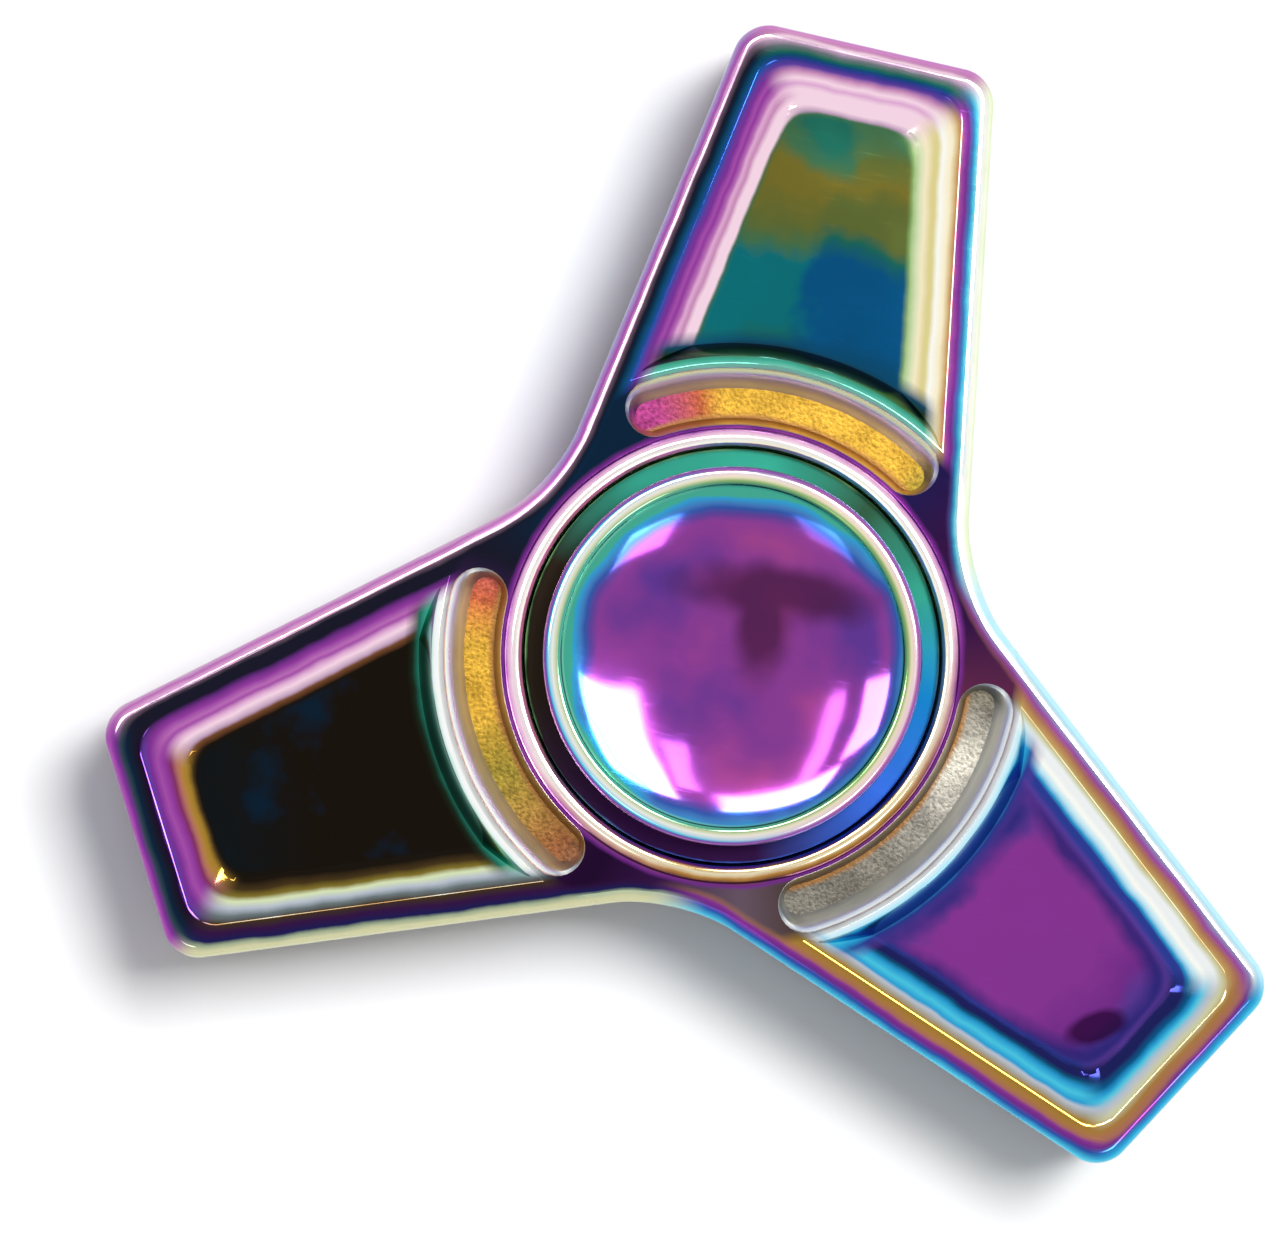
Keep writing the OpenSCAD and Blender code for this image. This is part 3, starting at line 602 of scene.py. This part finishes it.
    # flats round the hub and the walls of the slots
    around = addNode(tree, math, (at["turn"], 360.0), operation="DIVIDE")
    flat = addNode(tree, "ShaderNodeValToRGB", (around,), stops=spread(webFlats, 0, 360))
    nearCollar = addNode(tree, "ShaderNodeMapRange", (at["radius"], 14.35, 14.65, 0.0, 1.0))
    flat = addNode(tree, mix, {0: nearCollar, 6: linear(filmColours["plum"]), 7: flat}, out=2,
                   data_type="RGBA")
    sunk = addNode(tree, math, (at["height"], 3.992), operation="LESS_THAN")
    flat = addNode(tree, mix, {0: sunk, 6: flat, 7: wall}, out=2, data_type="RGBA")
    nearHub = addNode(tree, "ShaderNodeMapRange", (at["radius"], 18.35, 17.6, 0.0, 1.0))
    inRim = addNode(tree, "ShaderNodeMapRange", (at["edge"], 0.95, 1.5, 0.0, 1.0))
    share = addNode(tree, math, (nearHub, inRim), operation="MULTIPLY")
    colour = addNode(tree, mix, {0: share, 6: colour, 7: flat}, out=2, data_type="RGBA")
    # collar, its crest partly a painted highlight, and the gap round the cap, painted as shade
    out = addNode(tree, "ShaderNodeMapRange", (at["radius"], 12.8, 14.5, 0.0, 1.0))
    upper = addNode(tree, "ShaderNodeValToRGB", (out,), stops=spread(collarBands["upper"], 12.8, 14.5))
    lower = addNode(tree, "ShaderNodeValToRGB", (out,), stops=spread(collarBands["lower"], 12.8, 14.5))
    share = addNode(tree, math, (at["turn"], 300.0), operation="SUBTRACT")
    share = addNode(tree, math, (share, pi / 180), operation="MULTIPLY")
    share = addNode(tree, math, (share,), operation="COSINE")
    share = addNode(tree, "ShaderNodeMapRange", (share, 0.1, 0.85, 0.0, 1.0))
    collar = addNode(tree, mix, {0: share, 6: upper, 7: lower}, out=2, data_type="RGBA")
    share = addNode(tree, "ShaderNodeMapRange", (at["radius"], 14.5, 14.25, 0.0, 1.0))
    colour = addNode(tree, mix, {0: share, 6: colour, 7: collar}, out=2, data_type="RGBA")
    # the gap: painted shade under the cap's edge
    gap = addNode(tree, "ShaderNodeValToRGB", (around,), stops=spread(gapFilmAndShade, 0, 360))
    share = addNode(tree, "ShaderNodeMapRange", (at["radius"], 13.05, 12.85, 0.0, 1.0))
    colour = addNode(tree, mix, {0: share, 6: colour, 7: gap}, out=2, data_type="RGBA")
    inSlot = addNode(tree, "ShaderNodeMapRange", (at["radius"], 18.3, 17.6, 0.0, bodyFinish["slotWallSatin"]))
    inSlot = addNode(tree, math, (inSlot, sunk), operation="MULTIPLY")
    polishedSurface(tree, at["point"], colour, bodyFinish["polishRoughness"], inSlot)
    return material


# Bead-blasted floor of a slot under the film: matt, sandy and gold, like a frosted coin.
# The beads leave dents of about 0.1 mm; they are drawn 0.24 mm wide so that they show.
def blastedZinc():
    material, tree = newMaterial("pvdGoldBlastedZinc")
    at = filmCoordinates(tree)
    around = addNode(tree, "ShaderNodeMath", (at["turn"], 360.0), operation="DIVIDE")
    film = addNode(tree, "ShaderNodeValToRGB", (around,), stops=spread(slotFilmAndReflection, 0, 360))
    grain = addNode(tree, "ShaderNodeTexNoise", {"Vector": at["point"], "Scale": 1 / bodyFinish["grainSize"],
                                                 "Detail": 2.0, "Roughness": 0.6})
    shade = addNode(tree, "ShaderNodeMapRange", (grain, 0.3, 0.7, 0.46, 0.95))
    cloud = addNode(tree, "ShaderNodeTexNoise", {"Vector": at["point"], "Scale": 0.45, "Detail": 2.0})
    cloud = addNode(tree, "ShaderNodeMapRange", (cloud, 0.35, 0.65, 0.78, 1.15))
    shade = addNode(tree, "ShaderNodeMath", (shade, cloud), operation="MULTIPLY")
    shade = addNode(tree, "ShaderNodeCombineXYZ", (shade, shade, shade))
    colour = addNode(tree, "ShaderNodeMix", {0: 1.0, 6: film, 7: shade}, out=2, data_type="RGBA",
                     blend_type="MULTIPLY")
    # painted shade: the floor is darkened to brown where it runs up into the inner wall
    side = addNode(tree, "ShaderNodeMapRange", (at["radius"], 15.0, 15.35, 0.0, 1.0))
    colour = addNode(tree, "ShaderNodeMix", {0: side, 6: linear("#6a4a28"), 7: colour}, out=2,
                     data_type="RGBA")
    rough = addNode(tree, "ShaderNodeMapRange", (grain, 0.3, 0.7, 0.4, bodyFinish["blastRoughness"]))
    bump = addNode(tree, "ShaderNodeBump", {"Height": grain, "Strength": 0.55, "Distance": 0.00006})
    shader = addNode(tree, "ShaderNodeBsdfPrincipled",
                     {"Base Color": colour, "Metallic": 1.0, "Roughness": rough, "Normal": bump})
    addNode(tree, "ShaderNodeOutputMaterial", {"Surface": shader})
    return material


body = makeBody([rainbowZinc(), blastedZinc()])
finishMesh(body, 19)
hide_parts("body")
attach(body, "spinner")
print("body", len(body.data.polygons), "faces")

# Finger caps
capSizes = {  # millimetres, the same as the CAD caps'
    "radius": 11.8, "top": 6.5, "edge": 0.45, "land": 0.4, "lip": 0.35, "dishDepth": 1.5, "dishRound": 0.25,
    "seat": 4.1, "step": 0.3, "underEdge": 0.3, "bossRadius": 3.985, "bossLength": 3.4, "shimRadius": 5.6,
    "studHole": 2.015, "studHoleTop": 4.3, "turnSteps": 192,
}


def dishHeight(r, dishRadius):
    s, t = capSizes, r / dishRadius
    curve = (1 - s["dishRound"]) * t ** 2 + s["dishRound"] * t ** 8
    return s["top"] - s["dishDepth"] + (s["dishDepth"] - 0.6 * s["lip"]) * curve


def makeCap(name, side):
    s = capSizes
    landOut = s["radius"] - s["edge"]
    landIn = landOut - s["land"]
    dishRadius = landIn - s["lip"]
    bossLow = s["seat"] - s["bossLength"]
    under = s["seat"] + s["step"]
    arc = lambda r, z, size, a, b: [(r + size * cos(radians(a + (b - a) * i / 8)),
                                     z + size * sin(radians(a + (b - a) * i / 8))) for i in range(9)]
    section = [(0, s["studHoleTop"]), (s["studHole"], s["studHoleTop"]), (s["studHole"], bossLow),
               (s["bossRadius"] - 0.3, bossLow), (s["bossRadius"], bossLow + 0.3),
               (s["bossRadius"], s["seat"]), (s["shimRadius"] + 0.4, s["seat"]),
               (s["shimRadius"] + 0.4 + s["step"], under)]
    section += arc(s["radius"] - s["underEdge"], under + s["underEdge"], s["underEdge"], -90, 0)
    section += arc(landOut, s["top"] - s["edge"], s["edge"], 0, 90)
    section += arc(landIn, s["top"] - s["lip"], s["lip"], 90, 160)
    section += [(dishRadius * i / 40, dishHeight(dishRadius * i / 40, dishRadius)) for i in range(40, -1, -1)]
    bm = bmesh.new()
    turnProfile(bm, section, s["turnSteps"], closed=False)
    bmesh.ops.scale(bm, verts=bm.verts, vec=(1, 1, side))
    cap = asObject(name, bm)
    finishMesh(cap, 19)
    return cap


# The pale bands on the cap's rim (white, ice, cream, blush) are painted highlights along its rounded edges.
capBands = {  # by distance from the axis, in millimetres
    "dish": {0.0: "grape", 8.9: "grape", 9.4: "violet", 9.8: "blue", 10.1: "steel", 10.5: "azure",
             10.7: "jade", 10.9: "jade"},
    "rimCool": {10.5: "mint", 10.8: "jade", 11.0: "lime", 11.2: "white", 11.4: "ice", 11.5: "cyan",
                11.6: "violet", 11.8: "orchid"},
    "rimWarm": {10.5: "lagoon", 10.7: "teal", 10.9: "leaf", 11.1: "cream", 11.4: "blush", 11.5: "rose",
                11.6: "magenta", 11.8: "steel"},
}


# The same film on the turned caps: purple in the dish, running through blue and cyan to a pale rim with
# painted highlights, which the eye reads as a shallow coloured mirror.
def rainbowCap():
    material, tree = newMaterial("pvdRainbowTurnedZinc")
    math, vector, mix = "ShaderNodeMath", "ShaderNodeVectorMath", "ShaderNodeMix"
    place = addNode(tree, "ShaderNodeTexCoord", out="Object")
    point = addNode(tree, vector, (place, (1000, 1000, 1000)), operation="MULTIPLY")
    parts = addNode(tree, "ShaderNodeSeparateXYZ", (point,)).node
    flat = addNode(tree, "ShaderNodeCombineXYZ", (parts.outputs[0], parts.outputs[1]))
    radius = addNode(tree, vector, (flat,), out="Value", operation="LENGTH")
    turn = addNode(tree, math, (parts.outputs[1], parts.outputs[0]), operation="ARCTAN2")
    drift = addNode(tree, "ShaderNodeTexNoise", {"Vector": point, "Scale": 0.16, "Detail": 2.5})
    drift = addNode(tree, math, (drift, -0.5), operation="ADD")
    away = addNode(tree, math, (drift, 2.2, radius), operation="MULTIPLY_ADD")
    # the blue edge is wider on one side
    side = addNode(tree, math, (turn, 2.8), operation="SUBTRACT")
    side = addNode(tree, math, (side,), operation="COSINE")
    away = addNode(tree, math, (side, 0.5, away), operation="MULTIPLY_ADD")
    dish = addNode(tree, "ShaderNodeMapRange", (away, 0.0, 11.0, 0.0, 1.0))
    dish = addNode(tree, "ShaderNodeValToRGB", (dish,), stops=spread(capBands["dish"], 0, 11))
    # redder and bluer clouds where the film is a little thinner or thicker
    inside = addNode(tree, "ShaderNodeMapRange", (away, 9.2, 8.0, 0.0, 1.0))
    for start, end, shade in ((0.02, 0.2, "#b0448e"), (-0.02, -0.2, "#4c3098")):
        cloud = addNode(tree, "ShaderNodeMapRange", (drift, start, end, 0.0, 0.75))
        cloud = addNode(tree, math, (cloud, inside), operation="MULTIPLY")
        dish = addNode(tree, mix, {0: cloud, 6: dish, 7: linear(shade)}, out=2, data_type="RGBA")
    # a painted dark reflection, a bar with a stem, darkens the dish above its middle
    darkReflectionShapes = []
    for middle, reach in (((1.7, 4.5, 0), (5.6, 2.1, 1)), ((1.4, 2.6, 0), (2.1, 4.4, 1))):
        spot = addNode(tree, "ShaderNodeMapping",
                       {"Vector": flat, "Location": middle, "Rotation": (0, 0, 0.15), "Scale": reach},
                       vector_type="TEXTURE")
        darkReflectionShapes.append(addNode(tree, vector, (spot,), out="Value", operation="LENGTH"))
    spot = addNode(tree, math, (darkReflectionShapes[0], darkReflectionShapes[1], 0.4), operation="SMOOTH_MIN")
    spot = addNode(tree, math, (drift, 1.3, spot), operation="MULTIPLY_ADD")
    spot = addNode(tree, "ShaderNodeMapRange", (spot, 0.45, 1.15, 0.85, 0.0), interpolation_type="SMOOTHSTEP")
    dish = addNode(tree, mix, {0: spot, 6: dish, 7: linear("#4a0a40")}, out=2, data_type="RGBA")
    # the rim, with its painted highlights
    out = addNode(tree, "ShaderNodeMapRange", (radius, 10.4, 11.9, 0.0, 1.0))
    cool = addNode(tree, "ShaderNodeValToRGB", (out,), stops=spread(capBands["rimCool"], 10.4, 11.9))
    warm = addNode(tree, "ShaderNodeValToRGB", (out,), stops=spread(capBands["rimWarm"], 10.4, 11.9))
    share = addNode(tree, math, (turn, 0.35), operation="SUBTRACT")
    share = addNode(tree, math, (share,), operation="COSINE")
    share = addNode(tree, math, (drift, 2.0, share), operation="MULTIPLY_ADD")
    share = addNode(tree, "ShaderNodeMapRange", (share, -0.5, 0.7, 0.0, 1.0))
    rim = addNode(tree, mix, {0: share, 6: cool, 7: warm}, out=2, data_type="RGBA")
    share = addNode(tree, "ShaderNodeMapRange", (radius, 10.45, 10.65, 0.0, 1.0))
    colour = addNode(tree, mix, {0: share, 6: dish, 7: rim}, out=2, data_type="RGBA")
    polishedSurface(tree, point, colour, 0.08, clear=0.3)
    return material


capFilm = rainbowCap()
for name, node, side in (("finger_cap_top", "cap_top", 1), ("finger_cap_bottom", "cap_bottom", -1)):
    cap = makeCap(name, side)
    cap.data.materials.append(capFilm)
    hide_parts(node)
    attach(cap, "finger_hub")
print("caps")

# Bearing and fixings: CAD nodes with better metals
metalFinishes = {
    # hardened chrome steel, ground: bright and grey with rings left by the stone
    "groundBearingSteel": {"colour": "#c4c6c8", "dark": "#a4a6aa", "roughness": 0.2, "line": 0.12,
                           "rings": True},
    # the same steel lapped to a mirror
    "lappedBallSteel": {"colour": "#d6d8da", "dark": "#c4c6ca", "roughness": 0.06, "line": 0.5,
                        "rings": False},
    # pressed brass strip: warm yellow with a satin roll finish
    "pressedBrass": {"colour": "#c9a24e", "dark": "#a8823a", "roughness": 0.28, "line": 0.2,
                     "rings": False},
    # zinc-plated pressed steel: cool grey, slightly cloudy
    "platedShieldSteel": {"colour": "#b4bac0", "dark": "#949aa2", "roughness": 0.3, "line": 0.35,
                          "rings": True},
    # blue-tempered spring wire: dark with a blue cast
    "temperedSpringSteel": {"colour": "#6c7684", "dark": "#4c5462", "roughness": 0.32, "line": 0.2,
                            "rings": True},
    # cold-rolled shim stock: plain satin steel
    "rolledShimSteel": {"colour": "#b2b4b4", "dark": "#969898", "roughness": 0.34, "line": 0.15,
                        "rings": False},
    # black-oxide screw steel: near black, clouded with a little grey
    "blackOxideSteel": {"colour": "#34363a", "dark": "#1e2022", "roughness": 0.42, "line": 0.25,
                        "rings": False},
}


def workshopMetal(name):
    f = metalFinishes[name]
    material, tree = newMaterial(name)
    place = addNode(tree, "ShaderNodeTexCoord", out="Object")
    point = addNode(tree, "ShaderNodeVectorMath", (place, (1000, 1000, 1000)), operation="MULTIPLY")
    if f["rings"]:
        parts = addNode(tree, "ShaderNodeSeparateXYZ", (point,)).node
        flat = addNode(tree, "ShaderNodeCombineXYZ", (parts.outputs[0], parts.outputs[1]))
        radius = addNode(tree, "ShaderNodeVectorMath", (flat,), out="Value", operation="LENGTH")
        lined = addNode(tree, "ShaderNodeCombineXYZ", (radius, parts.outputs[2]))
    else:
        lined = addNode(tree, "ShaderNodeMapping", {"Vector": point, "Scale": (0.15, 1, 1)})
    marks = addNode(tree, "ShaderNodeTexNoise", {"Vector": lined, "Scale": 1 / f["line"], "Detail": 3.0})
    cloud = addNode(tree, "ShaderNodeTexNoise", {"Vector": point, "Scale": 0.5, "Detail": 4.0})
    colour = addNode(tree, "ShaderNodeMix", {0: cloud, 6: linear(f["dark"]), 7: linear(f["colour"])}, out=2,
                     data_type="RGBA")
    rough = addNode(tree, "ShaderNodeMapRange",
                    (marks, 0.3, 0.7, f["roughness"] * 0.75, f["roughness"] * 1.3))
    bump = addNode(tree, "ShaderNodeBump", {"Height": marks, "Strength": 0.15, "Distance": 0.00001})
    shader = addNode(tree, "ShaderNodeBsdfPrincipled",
                     {"Base Color": colour, "Metallic": 1.0, "Roughness": rough, "Normal": bump})
    addNode(tree, "ShaderNodeOutputMaterial", {"Surface": shader})
    return material


nodeMetals = {
    "groundBearingSteel": ["bearing_outer_ring", "bearing_inner_ring"],
    "lappedBallSteel": ["ball_" + str(i) for i in range(1, 8)],
    "pressedBrass": ["cage_upper", "cage_lower", "cage_rivets"],
    "platedShieldSteel": ["shield_top", "shield_bottom"],
    "temperedSpringSteel": ["snap_ring_top", "snap_ring_bottom"],
    "rolledShimSteel": ["shim_top", "shim_bottom"],
    "blackOxideSteel": ["cap_stud"],
}
for metal, nodes in nodeMetals.items():
    finish = workshopMetal(metal)
    for node in nodes:
        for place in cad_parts[node].material_slots:
            place.material = finish
print("bearing and fixings")

# Studio
studio = {
    "floorSize": 4.0, "floorColour": "#f0f0f0", "floorShade": "#ececec",
    "zenith": 0.85, "shoulder": 1.0, "horizon": 1.15, "ambient": 0.44,
    "lensLength": 150.0, "frameWidth": 79.75, "cameraTurn": 12.9, "aimAcross": -5.875, "aimUp": 1.81,
}
cameraTurn = radians(studio["cameraTurn"])
rightWay = Vector((cos(cameraTurn), sin(cameraTurn), 0))
upWay = Vector((-sin(cameraTurn), cos(cameraTurn), 0))

floorMaterial, tree = newMaterial("paperSweep")
# matt white paper: a faint mottle keeps it from looking like a flat card
place = addNode(tree, "ShaderNodeTexCoord", out="Object")
mottle = addNode(tree, "ShaderNodeTexNoise", {"Vector": place, "Scale": 60.0, "Detail": 3.0})
paper = addNode(tree, "ShaderNodeMix", {0: mottle, 6: linear(studio["floorShade"]),
                                        7: linear(studio["floorColour"])}, out=2, data_type="RGBA")
shader = addNode(tree, "ShaderNodeBsdfPrincipled", {"Base Color": paper, "Roughness": 0.9})
addNode(tree, "ShaderNodeOutputMaterial", {"Surface": shader})
bm = bmesh.new()
bmesh.ops.create_grid(bm, x_segments=1, y_segments=1, size=studio["floorSize"] / 2)
bmesh.ops.translate(bm, verts=bm.verts, vec=(0, 0, cadBox[0][2] - 0.00002))
floor = asObject("floor", bm)
floor.data.materials.append(floorMaterial)

world = bpy.data.worlds.new("lightTent")
scene.world = world
world.use_nodes = True
tree = world.node_tree
tree.nodes.clear()
# a light tent: dimmer straight above, where the camera looks through it, and it lights the floor less
# than it shows in the metal, so that the shadows stay
way = addNode(tree, "ShaderNodeTexCoord", out="Generated")
rise = addNode(tree, "ShaderNodeSeparateXYZ", (way,), out="Z")
glow = addNode(tree, "ShaderNodeMapRange", (rise, 0.80, 0.985, studio["shoulder"], studio["zenith"]),
               interpolation_type="SMOOTHSTEP")
low = addNode(tree, "ShaderNodeMapRange", (rise, 0.0, 0.6, studio["horizon"] - studio["shoulder"], 0.0))
glow = addNode(tree, "ShaderNodeMath", (glow, low), operation="ADD")
onPaper = addNode(tree, "ShaderNodeLightPath", out="Is Diffuse Ray")
glow = addNode(tree, "ShaderNodeMix", {0: onPaper, 2: glow, 3: studio["ambient"]})
back = addNode(tree, "ShaderNodeBackground", {"Color": (1, 1, 1, 1), "Strength": glow})
addNode(tree, "ShaderNodeOutputWorld", {"Surface": back})

softboxes = {  # flat panels overhead: metres to the camera's right and up, height, size in metres, radiance
    "window": {"place": (0.195, 0.14, 0.5), "size": (0.19, 0.22), "glow": 24.0},
    "sideWindow": {"place": (-0.235, 0.1, 0.5), "size": (0.13, 0.14), "glow": 14.0},
    "skylight": {"place": (-0.075, 0.24, 0.5), "size": (0.21, 0.1), "glow": 20.0},
    "leftPane": {"place": (0.07, 0.135, 0.5), "size": (0.03, 0.1), "glow": 7.0},
    "rightPane": {"place": (-0.1, 0.11, 0.5), "size": (0.03, 0.15), "glow": 6.0},
    "frontPane": {"place": (0.15, -0.19, 0.5), "size": (0.11, 0.095), "glow": 6.0},
    "frontSidePane": {"place": (-0.15, -0.21, 0.5), "size": (0.1, 0.09), "glow": 2.2},
    "key": {"place": (1.0, 0.76, 2.0), "size": (1.04, 1.04), "glow": 20.0},
}
for name, box in softboxes.items():
    light = bpy.data.lights.new(name, "AREA")
    light.shape = "RECTANGLE"
    light.size, light.size_y = box["size"]
    light.energy = box["glow"] * box["size"][0] * box["size"][1] * pi
    lamp = bpy.data.objects.new(name, light)
    across, up, high = box["place"]
    lamp.location = rightWay * across + upWay * up + Vector((0, 0, high))
    lamp.rotation_euler = (0, 0, cameraTurn)
    # the key lights the paper and throws the shadow; the others are what the metal mirrors
    lamp.visible_diffuse = name == "key"
    lamp.visible_glossy = name != "key"
    scene.collection.objects.link(lamp)

camera = bpy.data.objects.new("camera", bpy.data.cameras.new("camera"))
scene.collection.objects.link(camera)
camera.data.lens = studio["lensLength"]
camera.data.sensor_width = 36.0
distance = studio["frameWidth"] * mm * studio["lensLength"] / 36.0
aim = rightWay * studio["aimAcross"] * mm + upWay * studio["aimUp"] * mm
camera.location = aim + Vector((0, 0, distance + 0.004))
camera.rotation_euler = (0, 0, cameraTurn)
camera.data.clip_start, camera.data.clip_end = 0.01, 10.0
scene.camera = camera
print("studio")
